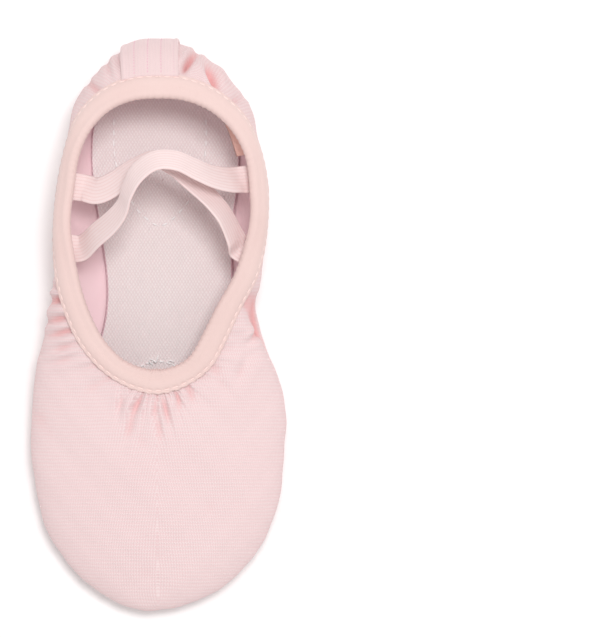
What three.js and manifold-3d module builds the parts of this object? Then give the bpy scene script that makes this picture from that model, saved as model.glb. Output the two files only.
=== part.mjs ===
// A soft ballet slipper, one foot of a pair, in a child's size: cloth upper, split suede sole,
// elastic binding round the opening and two elastic straps that cross over the instep.
//
// Millimetres, +Z up. The toe points to -Y and the heel to +Y. The origin is on the floor,
// under the middle of the slipper.
//
// The whole shell follows one surface. It is stretched over stations that go round the slipper
// from the heel to the toe, and each station has a point on the sole's edge, one on the widest
// line and one on the topline, which is the edge of the opening.
import * as THREE from "three";
import Module from "manifold-3d";
import { mergeVertices } from "three/addons/utils/BufferGeometryUtils.js";

const wasm = await Module();
wasm.setup();

// ---- Driving dimensions -------------------------------------------------------------------

const GAP = 0.3; // between touching pieces
const CANVAS = 0.8; // thickness of the upper's cloth
const LINING = 0.5;
const STRIP = 0.9; // thickness of the strip over the back seam
const STRIP_GAP = 0.8; // it lies over the seam's turned edges
const TAPE = 0.7; // thickness of the binding
const TAPE_OUT = 5.8; // how far the binding reaches down the outside
const TAPE_IN = (2 / 3) * TAPE_OUT; // and down the inside
const ELASTIC_R = 0.8; // the round elastic inside the binding
const STRAP_WIDTH = 9.5;
const STRAP_THICK = 1;

const SUEDE = 1.5; // thickness of the outsole pads
const SOLE_PANEL = 0.8;
const CUSHION = 1.5;
const INSOLE = 0.8;
const SOLE_PANEL_Z = SUEDE + GAP;
const CUSHION_Z = SOLE_PANEL_Z + SOLE_PANEL + GAP;
const INSOLE_Z = CUSHION_Z + CUSHION + GAP;
const SOLE_EDGE_Z = 2.2; // underside of the upper where it meets the sole

// The slipper folds at the arch, where neither pad reaches.
const FOLD_Y = 8;
const FOLD_Z = 2.2;
const FOLD_FRONT_LEAN = 35; // degrees from upright: the front face of the cloth that folds
const FOLD_BACK_LEAN = 20;

// Half of the slipper, from the back of the heel to the tip of the toe:
// sole's edge [half width, y], widest line [half width, y, z], topline [half width, y, z].
const STATIONS = [
  { sole: [0, 90], wide: [0, 98.4, 14], top: [0, 80.2, 42] },
  { sole: [9.25, 88.9], wide: [9.25, 97.2, 14], top: [9.25, 79.4, 41.8] },
  { sole: [17.5, 83.5], wide: [20.5, 89.5, 15], top: [18.5, 75.6, 41.4] },
  { sole: [22.8, 75], wide: [30, 77, 17], top: [26.3, 68.3, 40.6] },
  { sole: [25.2, 63], wide: [33.6, 63.6, 20], top: [31, 59, 39.4] },
  { sole: [24.8, 50], wide: [36.2, 50, 24], top: [33, 48, 38] },
  { sole: [22.8, 34.5], wide: [36.4, 34.4, 27], top: [33.8, 34, 36] },
  { sole: [21.6, 18.5], wide: [36, 18.1, 25], top: [30.4, 18, 33.5] },
  { sole: [21.8, 6], wide: [36.3, 5.8, 20], top: [25.3, 5.6, 31.5] },
  { sole: [23.3, -6], wide: [38.7, -6.6, 16], top: [20.3, -4.8, 29.5] },
  { sole: [26.3, -18], wide: [42.6, -19.1, 14], top: [15.4, -11.8, 28.2] },
  { sole: [29.6, -31], wide: [44.6, -33, 13], top: [11, -15.3, 27.4] },
  { sole: [31, -45], wide: [43.9, -48.3, 12], top: [7.4, -17, 27] },
  { sole: [29.5, -61], wide: [41.3, -65.1, 11], top: [4.8, -17.9, 26.8] },
  { sole: [25, -74], wide: [36.4, -77.6, 10.5], top: [3.1, -18.2, 26.7] },
  { sole: [17.5, -84.5], wide: [25.5, -90.2, 10], top: [1.9, -18.4, 26.6] },
  { sole: [9, -90.3], wide: [13, -98, 10], top: [0.9, -18.5, 26.6] },
  { sole: [0, -92], wide: [0, -100.2, 10], top: [0, -18.5, 26.6] },
];
const STATION_COUNT = 2 * (STATIONS.length - 1); // round the whole slipper
const STRIP_EDGES = { from: -0.77, to: 1.33 }; // stations of the strip over the back seam

// Pads of the outsole and cushions above them: half outlines [half width, y], back to front.
const HEEL_PAD = [[0, 87], [8, 85.5], [14.5, 80], [17.8, 71], [18, 61], [14.6, 50], [9, 40], [4.5, 34.5], [0, 32.5]];
const FOREFOOT_PAD = [
  [0, -8.5], [9, -10.5], [17, -16.5], [23.5, -27], [27.3, -41], [27.4, -54], [24.2, -67], [17, -79], [8.5, -86], [0, -88],
];
const HEEL_CUSHION = [[0, 86], [9, 84.5], [16, 80], [20.5, 73], [22.6, 63], [22.2, 50], [20.4, 36], [12, 31.5], [0, 30.5]];
const FOREFOOT_CUSHION = [
  [0, -10], [14, -11.5], [23, -17], [27, -31], [28.5, -45], [27, -60], [22.8, -72.5], [15.5, -82.5], [7.5, -88], [0, -89.5],
];

// The straps: [x, y, z, lean] between their sewn ends, where lean is how far the band is turned
// from upright, in degrees. left and right are the stations, counted from the heel, of the ends.
const STRAP_OVER = {
  left: 6.5,
  right: 4.92,
  path: [
    [-25.6, 26.2, 30.4, 60], [-20.6, 30.4, 36, 56], [-15, 34.8, 41.8, 50], [-11, 39.6, 46.2, 36],
    [-9.2, 45, 49.4, 32], [-5.6, 51.2, 52, 42], [0.6, 55.4, 53.4, 46], [7.6, 55.4, 52.4, 46],
    [13.8, 52.8, 49, 48], [19.6, 50.4, 44, 52], [25, 49.4, 38.6, 62], [28.6, 49.6, 34.6, 72],
  ],
};
const STRAP_UNDER = {
  left: 5.1,
  right: 6.62,
  path: [
    [-24.6, 46.8, 32, 80], [-20, 45.8, 34, 74], [-14.6, 48, 36.2, 62], [-7.6, 53.2, 39, 46],
    [-0.6, 56.6, 40.8, 38], [6.4, 53.6, 41, 38], [12, 49.2, 40, 42], [18, 44, 38, 42],
    [22.6, 38.8, 35.8, 40], [25.4, 34, 33.4, 40], [27.4, 29.4, 31.4, 46], [28.8, 26.4, 29, 66],
  ],
};
const SEWN_TOP = TAPE_IN + GAP;
// Points of a sewn end from its tip: how far below the topline, and how far from the lining.
const SEWN_POINTS = [[SEWN_TOP + 8, 1], [SEWN_TOP + 4.5, 1.1], [SEWN_TOP + 1, 2.2]];
const CUT = 0.45; // how far the band starts from a sewn end, in steps between the points of its path
const TAIL = { from: 3.05, to: 3.95 }; // stations of the tape's loose end, on the right
const SEWN_DEPTH = CANVAS + GAP + LINING + 2 * GAP; // from the shell's outside to what is sewn on the lining

const RIBS = 48; // lines that every layer of the shell shares, from the sole to the topline

// ---- The surface that the shell follows ----------------------------------------------------

const bump = (y, middle, spread) => Math.exp(-(((y - middle) / spread) ** 2));

// The slipper isn't quite straight: its upper leans one way at the heel and the other at the waist.
const upperSway = (y) => 2.4 * bump(y, 55, 30) - 2 * bump(y, 0, 13) - 1.6 * bump(y, -104, 9);
// The sole is cut in on the inner side of the arch, which moves its middle outwards.
const soleSway = (y) => 2 * bump(y, 60, 25) + 3.9 * bump(y, 8, 30);

function loop(key, sway, flatZ) {
  const half = STATIONS.map((station) => station[key]);
  const left = half.map(([w, y, z]) => new THREE.Vector3(sway(y) - w, y, z ?? flatZ));
  const right = half.slice(1, -1).reverse();
  const back = right.map(([w, y, z]) => new THREE.Vector3(sway(y) + w, y, z ?? flatZ));
  return new THREE.CatmullRomCurve3([...left, ...back], true, "catmullrom", 0.5);
}

const soleLoop = loop("sole", soleSway, SOLE_EDGE_Z);
const wideLoop = loop("wide", upperSway);
const topLoop = loop("top", upperSway);

const wrap = (t) => t - Math.floor(t);
const SHARE_BELOW = 0.35; // of a rib line that runs from the sole to the widest line
const BELLY = [0.84, 0.2]; // where the cloth bellies out below the widest line
const SHOULDER = 0.7; // how far it rises above the widest line before it leans in

// A point of the shell's outside: t goes round it, v from the sole's edge (0) to the topline (1).
function shell(t, v) {
  const wide = wideLoop.getPoint(wrap(t));
  if (v < SHARE_BELOW) {
    const sole = soleLoop.getPoint(wrap(t));
    const u = v / SHARE_BELOW;
    const pull = new THREE.Vector3(
      THREE.MathUtils.lerp(sole.x, wide.x, BELLY[0]),
      THREE.MathUtils.lerp(sole.y, wide.y, BELLY[0]),
      THREE.MathUtils.lerp(sole.z, wide.z, BELLY[1]),
    );
    return new THREE.QuadraticBezierCurve3(sole, pull, wide).getPoint(u);
  }
  const top = topLoop.getPoint(wrap(t));
  const pull = new THREE.Vector3(wide.x, wide.y, THREE.MathUtils.lerp(wide.z, top.z, SHOULDER));
  const u = (v - SHARE_BELOW) / (1 - SHARE_BELOW);
  return new THREE.QuadraticBezierCurve3(wide, pull, top).getPoint(u);
}

const TINY = 1e-3;

function shellNormal(t, v) {
  const low = Math.max(0, v - TINY);
  const high = Math.min(1, v + TINY);
  const round = shell(t + TINY, v).sub(shell(t - TINY, v));
  const up = shell(t, high).sub(shell(t, low));
  return round.cross(up).normalize();
}

const offsetShell = (t, v, out) => shell(t, v).addScaledVector(shellNormal(t, v), out);

// The same surface, measured in millimetres down from the topline.
const FINE = 60;
function vAtDrop(t, drop) {
  let run = 0;
  let last = shell(t, 1);
  for (let i = FINE - 1; i >= 0; i--) {
    const next = shell(t, i / FINE);
    const step = next.distanceTo(last);
    if (run + step >= drop) return (i + 1 - (drop - run) / step) / FINE;
    run += step;
    last = next;
  }
  return 0;
}

// A point of the wall at a drop below the topline, or above it where drop is negative. Between
// two ribs the wall is flat, so that layers at different distances stay parallel.
function wall(t, drop, out) {
  const onRib = (rib) => {
    if (drop >= 0) return offsetShell(rib, vAtDrop(rib, drop), out);
    const inwards = shell(rib, 1).sub(shell(rib, 0.985)).normalize();
    return offsetShell(rib, 1, out).addScaledVector(inwards, -drop);
  };
  const rib = Math.floor(t * RIBS + TINY);
  return onRib(rib / RIBS).lerp(onRib((rib + 1) / RIBS), Math.max(0, t * RIBS - rib));
}

// Heights along a rib, with the same ones near the topline as the binding's.
function ribHeights(t) {
  const nearTop = [1, 2 / 3, 1 / 3, 0].map((share) => vAtDrop(t, share * TAPE_OUT));
  const between = [0.14, 0.36, 0.66].map((u) => THREE.MathUtils.lerp(SHARE_BELOW, nearTop[0], u));
  return [0, 0.1, 0.2, SHARE_BELOW, ...between, ...nearTop];
}

// ---- Making solids -------------------------------------------------------------------------

// A closed solid through rings of points. A ring runs along one side and back along the other,
// so its first point faces its last one, and both sides are split into triangles the same way.
// Rings that close on themselves need no end faces.
function loft(rings, closed) {
  const size = rings[0].length;
  const positions = rings.flat().flatMap((p) => [p.x, p.y, p.z]);
  const faces = [];
  const quad = (a, b, c, d) => faces.push(a, b, c, a, c, d);
  const last = closed ? rings.length : rings.length - 1;
  for (let i = 0; i < last; i++) {
    const here = i * size;
    const next = ((i + 1) % rings.length) * size;
    for (let j = 0; j < size; j++) {
      const k = (j + 1) % size;
      if (j < size / 2) quad(here + j, here + k, next + k, next + j);
      else quad(here + k, next + k, next + j, here + j);
    }
  }
  if (!closed) {
    const end = (rings.length - 1) * size;
    for (let j = 0; j + 1 < size / 2; j++) {
      const [a, b, c, d] = [j, j + 1, size - 2 - j, size - 1 - j];
      quad(d, c, b, a);
      quad(end + a, end + b, end + c, end + d);
    }
  }
  const geometry = new THREE.BufferGeometry();
  geometry.setAttribute("position", new THREE.Float32BufferAttribute(positions, 3));
  geometry.setIndex(faces);
  return facingOut(geometry);
}

// Turns a closed mesh the right way round.
function facingOut(geometry) {
  const p = geometry.getAttribute("position");
  const index = geometry.index.array;
  const [a, b, c] = [new THREE.Vector3(), new THREE.Vector3(), new THREE.Vector3()];
  let volume = 0;
  for (let i = 0; i < index.length; i += 3) {
    a.fromBufferAttribute(p, index[i]);
    b.fromBufferAttribute(p, index[i + 1]);
    c.fromBufferAttribute(p, index[i + 2]);
    volume += a.dot(b.cross(c));
  }
  if (volume < 0) index.reverse();
  geometry.computeVertexNormals();
  return geometry;
}

function toSolid(geometry) {
  const bare = new THREE.BufferGeometry();
  bare.setAttribute("position", geometry.getAttribute("position"));
  bare.setIndex(geometry.index);
  const merged = mergeVertices(bare, 1e-4);
  return new wasm.Manifold(
    new wasm.Mesh({
      numProp: 3,
      vertProperties: new Float32Array(merged.getAttribute("position").array),
      triVerts: new Uint32Array(merged.index.array),
    }),
  );
}

function toGeometry(solid) {
  const mesh = solid.getMesh();
  const geometry = new THREE.BufferGeometry();
  geometry.setAttribute("position", new THREE.BufferAttribute(mesh.vertProperties, 3));
  geometry.setIndex(new THREE.BufferAttribute(mesh.triVerts, 1));
  geometry.computeVertexNormals();
  return geometry;
}

// A cloth layer between two distances from the shell's outside, all the way round.
function layer(outside, inside) {
  const rings = [];
  for (let i = 0; i < RIBS; i++) {
    const heights = ribHeights(i / RIBS);
    const outer = heights.map((v) => offsetShell(i / RIBS, v, outside));
    const inner = heights.map((v) => offsetShell(i / RIBS, v, inside)).reverse();
    rings.push([...outer, ...inner]);
  }
  return loft(rings, true);
}

// A patch on the wall, from one station to another and from one drop to another.
function patch(from, to, steps, drops, outside, inside) {
  const rings = [];
  for (let i = 0; i <= steps; i++) {
    const t = THREE.MathUtils.lerp(from, to, i / steps) / STATION_COUNT;
    const outer = drops(t).map((drop) => wall(t, drop, outside));
    const inner = drops(t).map((drop) => wall(t, drop, inside)).reverse();
    rings.push([...outer, ...inner]);
  }
  return loft(rings, false);
}

// A flat plate with the outline given as a half, which follows the sole's sway.
function plate(half, z, thickness) {
  const left = half.map(([w, y]) => new THREE.Vector3(soleSway(y) - w, y, 0));
  const right = half.slice(1, -1).reverse();
  const back = right.map(([w, y]) => new THREE.Vector3(soleSway(y) + w, y, 0));
  const outline = new THREE.CatmullRomCurve3([...left, ...back], true, "catmullrom", 0.5);
  const points = outline.getPoints(2 * (left.length + back.length)).slice(0, -1);
  const shape = new THREE.Shape(points.map((p) => new THREE.Vector2(p.x, p.y)));
  const geometry = new THREE.ExtrudeGeometry(shape, { depth: thickness, bevelEnabled: false });
  return geometry.translate(0, 0, z);
}

// ---- The fold at the arch ------------------------------------------------------------------

const FAR = 150; // past every side of the slipper
const FOLD_HEIGHT = 80;

// A block as wide as the slipper whose side view is the outline given as [y, z] pairs.
function sideBlock(outline, fromX = -FAR, toX = FAR) {
  const shape = new THREE.Shape(outline.map(([y, z]) => new THREE.Vector2(y, z)));
  const geometry = new THREE.ExtrudeGeometry(shape, { depth: toX - fromX, bevelEnabled: false });
  // The side view's y and z are drawn as x and y, and the depth becomes the slipper's x.
  const turn = new THREE.Matrix4().makeBasis(
    new THREE.Vector3(0, 1, 0),
    new THREE.Vector3(0, 0, 1),
    new THREE.Vector3(1, 0, 0),
  );
  geometry.applyMatrix4(turn).translate(fromX, 0, 0);
  geometry.deleteAttribute("normal");
  geometry.deleteAttribute("uv");
  return toSolid(mergeVertices(geometry, 1e-4));
}

const leanAt = (degrees) => FOLD_HEIGHT * Math.tan(THREE.MathUtils.degToRad(degrees));
const frontTop = FOLD_Y - leanAt(FOLD_FRONT_LEAN);
const backTop = FOLD_Y + leanAt(FOLD_BACK_LEAN);
const foldTop = FOLD_Z + FOLD_HEIGHT;
const half = GAP / 2;

const FRONT = sideBlock([[-FAR, -5], [FOLD_Y - half, -5], [FOLD_Y - half, FOLD_Z], [frontTop - half, foldTop], [-FAR, foldTop]]);
const BACK = sideBlock([[FOLD_Y + half, -5], [FAR, -5], [FAR, foldTop], [backTop + half, foldTop], [FOLD_Y + half, FOLD_Z]]);
const FOLD_OUTLINE = [[FOLD_Y + half, FOLD_Z + 1.5], [backTop - half, foldTop], [frontTop + half, foldTop], [FOLD_Y - half, FOLD_Z + 1.5]];
const FOLD_LEFT = sideBlock(FOLD_OUTLINE, -FAR, 0);
const FOLD_RIGHT = sideBlock(FOLD_OUTLINE, 0, FAR);
const LEFT_OF_SEAM = sideBlock([[-FAR, -5], [FAR, -5], [FAR, foldTop], [-FAR, foldTop]], -FAR, -half);
const RIGHT_OF_SEAM = sideBlock([[-FAR, -5], [FAR, -5], [FAR, foldTop], [-FAR, foldTop]], half, FAR);

// ---- Materials -----------------------------------------------------------------------------

const finish = (color, roughness) => new THREE.MeshStandardMaterial({ color, roughness, metalness: 0 });
const canvas = finish(0xf2d2d4, 0.85);
const lining = finish(0xe3b6bd, 0.7);
const tape = finish(0xf8dcd6, 0.9);
const webbing = finish(0xf1cfcd, 0.75);
const rubber = finish(0xf4efe8, 0.6);
const suede = finish(0xcfa79a, 0.95);
const cotton = finish(0xe9e2e1, 0.9);
const foam = finish(0xf3ece2, 0.95);

// ---- The pieces ----------------------------------------------------------------------------

const slipper = new THREE.Group();
slipper.name = "ballet_slipper";

function add(name, geometry, material) {
  const mesh = new THREE.Mesh(geometry, material);
  mesh.name = name;
  slipper.add(mesh);
}

// A layer that goes round the slipper is cut where the arch folds: cloth in the fold is a piece
// of its own on each side, so that the heel can swing up without cutting into the front.
function addFolding(name, geometry, material, backName) {
  const whole = toSolid(geometry);
  add(`${name}_front`, toGeometry(whole.intersect(FRONT)), material);
  add(`${name}_waist_left`, toGeometry(whole.intersect(FOLD_LEFT)), material);
  add(`${name}_waist_right`, toGeometry(whole.intersect(FOLD_RIGHT)), material);
  const back = whole.intersect(BACK);
  if (backName) add(backName, toGeometry(back), material);
  return back;
}

function addUpper() {
  const quarters = addFolding("upper", layer(0, -CANVAS), canvas);
  add("upper_quarter_left", toGeometry(quarters.intersect(LEFT_OF_SEAM)), canvas);
  add("upper_quarter_right", toGeometry(quarters.intersect(RIGHT_OF_SEAM)), canvas);
}

function addLining() {
  const outside = -CANVAS - GAP;
  addFolding("lining", layer(outside, outside - LINING), lining, "lining_heel");
}

// The strip runs from the sole to the binding over the seam at the back of the heel.
function addHeelStrip() {
  const drops = (t) => {
    const floor = 46;
    return [0, 0.14, 0.28, 0.44, 0.62, 0.8, 1].map((u) => THREE.MathUtils.lerp(TAPE_OUT + GAP, floor, u));
  };
  add("heel_strip", patch(STRIP_EDGES.from, STRIP_EDGES.to, 6, drops, STRIP_GAP + STRIP, STRIP_GAP), canvas);
}

// The binding is a tape folded over the topline, with a round channel along its fold.
const CHANNEL_DROP = -(ELASTIC_R + GAP);
const MIDDLE = -(CANVAS + GAP + LINING) / 2; // half way through canvas and lining
const REACH = -MIDDLE + 2 * GAP; // from there to the inner face of the tape

function foldedTape(t) {
  const side = (radius) => {
    const arc = [0, 60, 120, 180].map((degrees) => {
      const a = THREE.MathUtils.degToRad(degrees);
      return wall(t, CHANNEL_DROP - radius * Math.sin(a), MIDDLE + radius * Math.cos(a));
    });
    const outside = [TAPE_OUT, TAPE_IN, TAPE_OUT / 3, 0].map((drop) => wall(t, drop, MIDDLE + radius));
    const inside = [0, TAPE_OUT / 3, TAPE_IN].map((drop) => wall(t, drop, MIDDLE - radius));
    return [...outside, ...arc, ...inside];
  };
  return [...side(REACH + TAPE), ...side(REACH).reverse()];
}

function addBinding() {
  const rings = [];
  for (let i = 0; i < RIBS; i++) rings.push(foldedTape(i / RIBS));
  addFolding("binding", loft(rings, true), tape, "binding_heel");
}

function addElastic() {
  const sides = 6;
  const rings = [];
  for (let i = 0; i < RIBS; i++) {
    const ring = [];
    for (let j = 0; j < sides; j++) {
      const a = (2 * Math.PI * j) / sides;
      const drop = CHANNEL_DROP + ELASTIC_R * Math.sin(a);
      ring.push(wall(i / RIBS, drop, MIDDLE + ELASTIC_R * Math.cos(a)));
    }
    rings.push(ring);
  }
  add("binding_elastic", loft(rings, true), rubber);
}

function addSole() {
  add("outsole_heel", plate(HEEL_PAD, 0, SUEDE), suede);
  add("outsole_forefoot", plate(FOREFOOT_PAD, 0, SUEDE), suede);
  const inset = (by) => STATIONS.map(({ sole: [w, y] }, i) => {
    const ends = i === 0 || i === STATIONS.length - 1;
    return [ends ? 0 : w - by, ends ? y - Math.sign(y) * by : y - (Math.sign(y) * by) / 3];
  });
  add("sole_panel", plate(inset(3.5 * GAP), SOLE_PANEL_Z, SOLE_PANEL), canvas);
  add("cushion_heel", plate(HEEL_CUSHION, CUSHION_Z, CUSHION), foam);
  add("cushion_forefoot", plate(FOREFOOT_CUSHION, CUSHION_Z, CUSHION), foam);
  add("insole_cover", plate(inset(1), INSOLE_Z, INSOLE), cotton);
}

// A strap as points along its middle and the way its width runs at each. It starts and ends flat
// on the lining, under the binding.
function strapLine({ left, right, path }) {
  const sewn = (station) => SEWN_POINTS.map(([drop, depth]) => {
    const t = station / STATION_COUNT;
    const across = shell(t + TINY, 0.8).sub(shell(t - TINY, 0.8)).normalize();
    if (across.y > 0) across.negate();
    return { point: wall(t, drop, -SEWN_DEPTH - depth), across };
  });
  const free = path.map(([x, y, z, lean], i) => {
    const [x0, y0, z0] = path[Math.max(i - 1, 0)];
    const [x1, y1, z1] = path[Math.min(i + 1, path.length - 1)];
    const along = new THREE.Vector3(x1 - x0, y1 - y0, z1 - z0).normalize();
    const toToe = new THREE.Vector3().crossVectors(along, new THREE.Vector3(0, 0, 1)).normalize();
    const up = new THREE.Vector3().crossVectors(toToe, along);
    const turn = THREE.MathUtils.degToRad(lean);
    const across = toToe.multiplyScalar(Math.sin(turn)).addScaledVector(up, Math.cos(turn));
    return { point: new THREE.Vector3(x, y, z), across };
  });
  return [...sewn(left), ...free, ...sewn(STATION_COUNT - right).reverse()];
}

// A band along part of a strap's line, between two places counted in its points.
function band(line, from, to) {
  const smooth = (points) => new THREE.CatmullRomCurve3(points, false, "catmullrom", 0.5);
  const centre = smooth(line.map(({ point }) => point));
  const width = smooth(line.map(({ across }) => across));
  const steps = Math.round(2 * (to - from));
  const rings = [];
  for (let i = 0; i <= steps; i++) {
    const u = THREE.MathUtils.lerp(from, to, i / steps) / (line.length - 1);
    const along = centre.getTangent(u);
    const across = width.getPoint(u).projectOnPlane(along).normalize();
    const through = new THREE.Vector3().crossVectors(along, across);
    const corner = (w, n) => centre.getPoint(u)
      .addScaledVector(across, (w * STRAP_WIDTH) / 2)
      .addScaledVector(through, (n * STRAP_THICK) / 2);
    rings.push([corner(-1, 1), corner(1, 1), corner(1, -1), corner(-1, -1)]);
  }
  return loft(rings, false);
}

// A strap's ends stay with the wall that they are sewn to, and the band between them swings.
function addStrap(name, strap) {
  const line = strapLine(strap);
  const [first, last] = [SEWN_POINTS.length, line.length - 1 - SEWN_POINTS.length];
  add(name, band(line, first + CUT, last - CUT), webbing);
  add(`${name}_end_left`, band(line, 0, first), webbing);
  add(`${name}_end_right`, band(line, last, line.length - 1), webbing);
}

// The tape's loose end hangs inside, under the place where the binding is closed.
function addTail() {
  const [from, to] = [STATION_COUNT - TAIL.to, STATION_COUNT - TAIL.from];
  const drops = () => [SEWN_TOP, SEWN_TOP + 4];
  add("binding_tail", patch(from, to, 3, drops, -SEWN_DEPTH, -SEWN_DEPTH - TAPE), tape);
}

addUpper();
addLining();
addHeelStrip();
addBinding();
addElastic();
addSole();
addStrap("strap_over", STRAP_OVER);
addStrap("strap_under", STRAP_UNDER);
addTail();

// The origin goes to the floor under the middle of the slipper.
const bounds = new THREE.Box3().setFromObject(slipper);
const middle = bounds.getCenter(new THREE.Vector3());
slipper.position.set(-middle.x, -middle.y, -bounds.min.z);

export default slipper;
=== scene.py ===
# A child's soft ballet slipper, one foot of a pair: ribbed canvas upper, knitted binding gathered on
# an elastic, two elastic straps crossed over the instep, waffle insole and a split suede sole.
#
# Shapes are worked out in millimetres, with the toe at -Y and the heel at +Y, and become metres
# when a mesh is made. Every cloth layer follows one surface. A station (0 to 34) says how far
# round the slipper a point is, from the middle of the heel over the left side to the toe and back
# over the right side. A drop says how far below the topline it is, measured down the cloth.
import math

import bpy
import numpy as np
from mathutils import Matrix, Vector


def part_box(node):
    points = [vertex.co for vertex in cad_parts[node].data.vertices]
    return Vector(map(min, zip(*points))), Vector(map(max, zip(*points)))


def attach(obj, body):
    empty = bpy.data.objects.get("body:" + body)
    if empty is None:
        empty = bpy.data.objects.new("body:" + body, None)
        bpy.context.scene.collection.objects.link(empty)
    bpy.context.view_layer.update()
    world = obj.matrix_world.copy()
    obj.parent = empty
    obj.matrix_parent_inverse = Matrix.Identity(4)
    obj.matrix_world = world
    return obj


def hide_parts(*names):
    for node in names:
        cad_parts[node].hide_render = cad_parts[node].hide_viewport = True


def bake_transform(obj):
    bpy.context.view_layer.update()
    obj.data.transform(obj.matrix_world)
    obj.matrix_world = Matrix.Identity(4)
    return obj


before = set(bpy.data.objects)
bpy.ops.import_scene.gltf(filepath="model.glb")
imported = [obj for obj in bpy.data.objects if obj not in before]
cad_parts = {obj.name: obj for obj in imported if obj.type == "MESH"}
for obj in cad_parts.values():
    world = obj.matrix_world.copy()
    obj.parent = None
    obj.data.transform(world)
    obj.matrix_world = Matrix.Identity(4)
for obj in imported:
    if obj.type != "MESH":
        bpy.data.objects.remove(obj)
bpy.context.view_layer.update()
MM = 0.001
rng = np.random.default_rng(7)

# ---- Sizes, in millimetres -----------------------------------------------------------------

CANVAS = 0.8
LINING = 0.5
LAYER_GAP = 0.3
TAPE = 0.7
TAPE_OUT = 5.8
TAPE_IN = TAPE_OUT * 2 / 3
ELASTIC_R = 0.8
STRAP_WIDTH = 9.5
STRAP_THICK = 1.0
CORDS = 8  # elastic cords across a strap
SUEDE = 1.5
SOLE_PANEL_Z, SOLE_PANEL = 1.8, 0.8
CUSHION_Z, CUSHION = 2.9, 1.5
INSOLE_Z, INSOLE = 4.7, 0.8
SOLE_EDGE_Z = 2.2
SEWN_TOP = TAPE_IN + LAYER_GAP
SEWN_DEPTH = CANVAS + LINING + 3 * LAYER_GAP
# Points of a strap's sewn end from its tip: drop below the topline, and distance from the lining.
SEWN_POINTS = ((SEWN_TOP + 8, 1.5), (SEWN_TOP + 4.5, 1.6), (SEWN_TOP + 1, 2.4))

# Half of the slipper from the heel to the toe: sole's edge, widest line and topline.
SOLE = [
    (0, 90), (9.25, 88.9), (17.5, 83.5), (22.8, 75), (25.2, 63), (24.8, 50), (22.8, 34.5), (21.6, 18.5),
    (21.8, 6), (23.3, -6), (26.3, -18), (29.6, -31), (31, -45), (29.5, -61), (25, -74), (17.5, -84.5),
    (9, -90.3), (0, -92),
]
WIDE = [
    (0, 98.4, 14), (9.25, 97.2, 14), (20.5, 89.5, 15), (30, 77, 17), (33.6, 63.6, 20), (36.2, 50, 24),
    (36.4, 34.4, 27), (36, 18.1, 25), (36.3, 5.8, 20), (38.7, -6.6, 16), (42.6, -19.1, 14), (44.6, -33, 13),
    (43.9, -48.3, 12), (41.3, -65.1, 11), (36.4, -77.6, 10.5), (25.5, -90.2, 10), (13, -98, 10),
    (0, -100.2, 10),
]
TOP = [
    (0, 80.2, 42), (9.25, 79.4, 41.8), (18.5, 75.6, 41.4), (26.3, 68.3, 40.6), (31, 59, 39.4), (33, 48, 38),
    (33.8, 34, 36), (30.4, 18, 33.5), (25.3, 5.6, 31.5), (20.3, -4.8, 29.5), (15.4, -11.8, 28.2),
    (11, -15.3, 27.4), (7.4, -17, 27), (4.8, -17.9, 26.8), (3.1, -18.2, 26.7), (1.9, -18.4, 26.6),
    (0.9, -18.5, 26.6), (0, -18.5, 26.6),
]
STATIONS = 2 * (len(TOP) - 1)

HEEL_PAD = [(0, 87), (8, 85.5), (14.5, 80), (17.8, 71), (18, 61), (14.6, 50), (9, 40), (4.5, 34.5), (0, 32.5)]
FOREFOOT_PAD = [
    (0, -8.5), (9, -10.5), (17, -16.5), (23.5, -27), (27.3, -41), (27.4, -54), (24.2, -67), (17, -79),
    (8.5, -86), (0, -88),
]
HEEL_CUSHION = [
    (0, 86), (9, 84.5), (16, 80), (20.5, 73), (22.6, 63), (22.2, 50), (20.4, 36), (12, 31.5), (0, 30.5),
]
FOREFOOT_CUSHION = [
    (0, -10), (14, -11.5), (23, -17), (27, -31), (28.5, -45), (27, -60), (22.8, -72.5), (15.5, -82.5),
    (7.5, -88), (0, -89.5),
]

# The straps: [x, y, z, lean from upright in degrees] between the ends' stations.
STRAP_OVER = dict(left=6.5, right=4.92, path=[
    (-25.6, 26.2, 30.4, 60), (-20.6, 30.4, 36, 56), (-15, 34.8, 41.8, 50), (-11, 39.6, 46.2, 36),
    (-9.2, 45, 49.4, 32), (-5.6, 51.2, 52, 42), (0.6, 55.4, 53.4, 46), (7.6, 55.4, 52.4, 46),
    (13.8, 52.8, 49, 48), (19.6, 50.4, 44, 52), (25, 49.4, 38.6, 62), (28.6, 49.6, 34.6, 72),
])
STRAP_UNDER = dict(left=5.1, right=6.62, path=[
    (-24.6, 46.8, 32, 80), (-20, 45.8, 34, 74), (-14.6, 48, 36.2, 62), (-7.6, 53.2, 39, 46),
    (-0.6, 56.6, 40.8, 38), (6.4, 53.6, 41, 38), (12, 49.2, 40, 42), (18, 44, 38, 42),
    (22.6, 38.8, 35.8, 40), (25.4, 34, 33.4, 40), (27.4, 29.4, 31.4, 46), (28.8, 26.4, 29, 66),
])

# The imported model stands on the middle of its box, which moves these sizes along Y.
SHIFT_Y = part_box("outsole_forefoot")[1].y / MM - FOREFOOT_PAD[0][1]

# ---- The surface that the cloth follows ----------------------------------------------------

TOP_SHARE = 0.35  # of a line up the wall that lies below the widest line
BELLY = (0.84, 0.2)
SHOULDER = 0.7


def bump(y, middle, spread):
    return np.exp(-(((y - middle) / spread) ** 2))


def upper_sway(y):
    return 2.4 * bump(y, 55, 30) - 2 * bump(y, 0, 13) - 1.6 * bump(y, -104, 9)


def sole_sway(y):
    return 2 * bump(y, 60, 25) + 3.9 * bump(y, 8, 30)


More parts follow.
